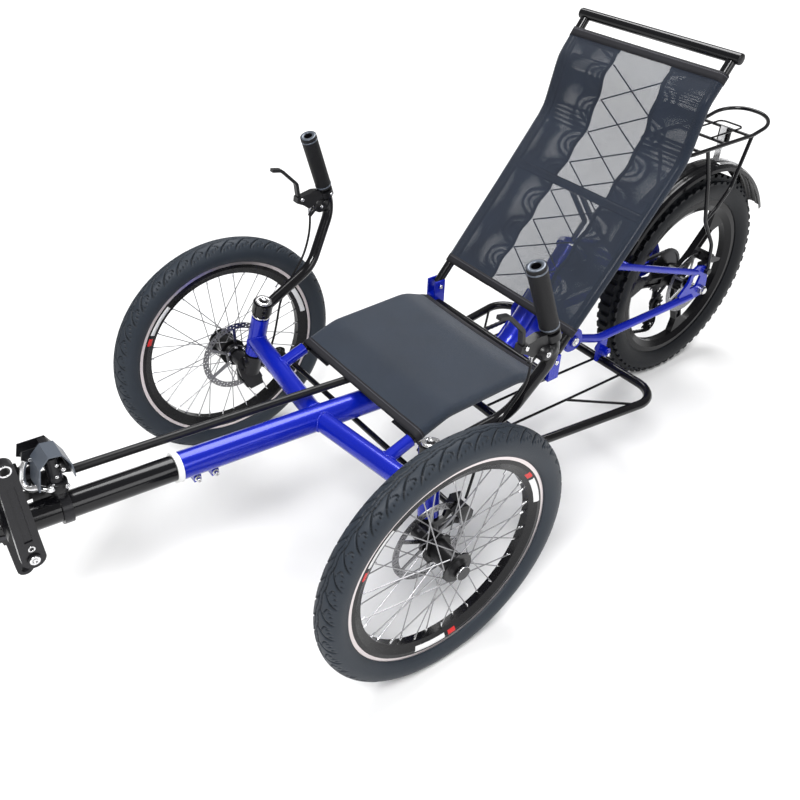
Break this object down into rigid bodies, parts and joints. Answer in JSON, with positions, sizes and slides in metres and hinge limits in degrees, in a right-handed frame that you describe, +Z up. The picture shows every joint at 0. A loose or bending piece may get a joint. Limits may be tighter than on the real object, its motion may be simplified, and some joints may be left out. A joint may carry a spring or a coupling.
{
  "type": "recumbent tricycle",
  "caption": "Recumbent tricycle with two steered front wheels, side handlebars, sling mesh seat, cast rear wheel, rear fender and rack.",
  "frame": {"origin": "floor under the middle of the trike's overall box", "axes": "+X to the rider's left, -Y forward, +Z up"},
  "size_m": [0.858, 1.9933, 0.9064],
  "materials": {
    "frame_blue": "gloss metallic paint",
    "frame_black": "gloss paint",
    "cast_black": "gloss paint",
    "rim_black": "anodised",
    "hub_dark": "anodised",
    "steel": "brushed",
    "alloy": "satin",
    "black_plastic": "matt",
    "white_plastic": "satin",
    "grip_rubber": "matt",
    "tyre_rubber": "matt",
    "mesh_cloth": "open mesh"
  },
  "bodies": {
    "frame": {"boom": "frame_black", "boom_collar": "white_plastic", "caliper_rear": "hub_dark", "chain": "steel", "chain_tubes": "black_plastic", "cross_arms": "frame_blue", "fender": "black_plastic", "fender_strap": "alloy", "front_derailleur": "hub_dark", "hoop": "frame_black", "hoop_lugs": "frame_blue", "hoop_wires": "frame_black", "lower_stays": "frame_blue", "main_tube": "frame_blue", "pivot_frame": "frame_blue", "rack_legs": "frame_black", "rack_top": "frame_black", "rear_axle": "steel", "rear_derailleur": "hub_dark", "seat_back": "mesh_cloth", "seat_back_frame": "frame_black", "seat_base": "mesh_cloth", "seat_base_frame": "frame_black", "seat_lacing": "black_plastic", "seat_mounts": "frame_blue", "seat_strut": "frame_black", "upper_stays": "frame_blue"},
    "knuckle_left": {"knuckle_left": "hub_dark", "handlebar_left": "frame_black", "grip_left": "grip_rubber", "brake_lever_left": "black_plastic", "caliper_left": "hub_dark", "cable_left": "black_plastic"},
    "wheel_left": {"tyre_left": "tyre_rubber", "rim_left": "rim_black", "hub_left": "hub_dark", "rotor_left": "steel"},
    "knuckle_right": {"knuckle_right": "hub_dark", "handlebar_right": "frame_black", "grip_right": "grip_rubber", "brake_lever_right": "black_plastic", "caliper_right": "hub_dark", "cable_right": "black_plastic"},
    "wheel_right": {"tyre_right": "tyre_rubber", "rim_right": "rim_black", "hub_right": "hub_dark", "rotor_right": "steel"},
    "wheel_rear": {"tyre_rear": "tyre_rubber", "wheel_rear": "cast_black", "rotor_rear": "steel", "cassette": "steel"},
    "crank": {"crank_arm_left": "hub_dark", "crank_arm_right": "hub_dark", "chainrings": "steel"},
    "track_rod": {"track_rod": "frame_black"}
  },
  "joints": [
    {"name": "steer_left", "type": "hinge", "parent": "frame", "child": "knuckle_left", "pos_m": [0.292, -0.3223, 0.33], "axis": [-0.189, 0.1367, 0.9724], "range_deg": [-28, 28]},
    {"name": "steer_right", "type": "hinge", "parent": "frame", "child": "knuckle_right", "pos_m": [-0.292, -0.3223, 0.33], "axis": [0.189, 0.1367, 0.9724], "range_deg": [-28, 28]},
    {"name": "track_rod_swing", "type": "hinge", "parent": "knuckle_left", "child": "track_rod", "pos_m": [0.30755, -0.2643, 0.25], "axis": [-0.19, 0.0946, 0.9772], "range_deg": [-28, 28]},
    {"name": "roll_left", "type": "hinge", "parent": "knuckle_left", "child": "wheel_left", "pos_m": [0.3835, -0.3543, 0.257], "axis": [1, 0, 0], "continuous": true},
    {"name": "roll_right", "type": "hinge", "parent": "knuckle_right", "child": "wheel_right", "pos_m": [-0.3835, -0.3543, 0.257], "axis": [1, 0, 0], "continuous": true},
    {"name": "roll_rear", "type": "hinge", "parent": "frame", "child": "wheel_rear", "pos_m": [0, 0.7257, 0.271], "axis": [1, 0, 0], "continuous": true},
    {"name": "pedal_axis", "type": "hinge", "parent": "frame", "child": "crank", "pos_m": [0, -0.9163, 0.35188], "axis": [1, 0, 0], "continuous": true}
  ],
  "couplings": [
    {"joint": "steer_right", "follows": "steer_left", "ratio": 1},
    {"joint": "track_rod_swing", "follows": "steer_left", "ratio": -0.99508}
  ]
}
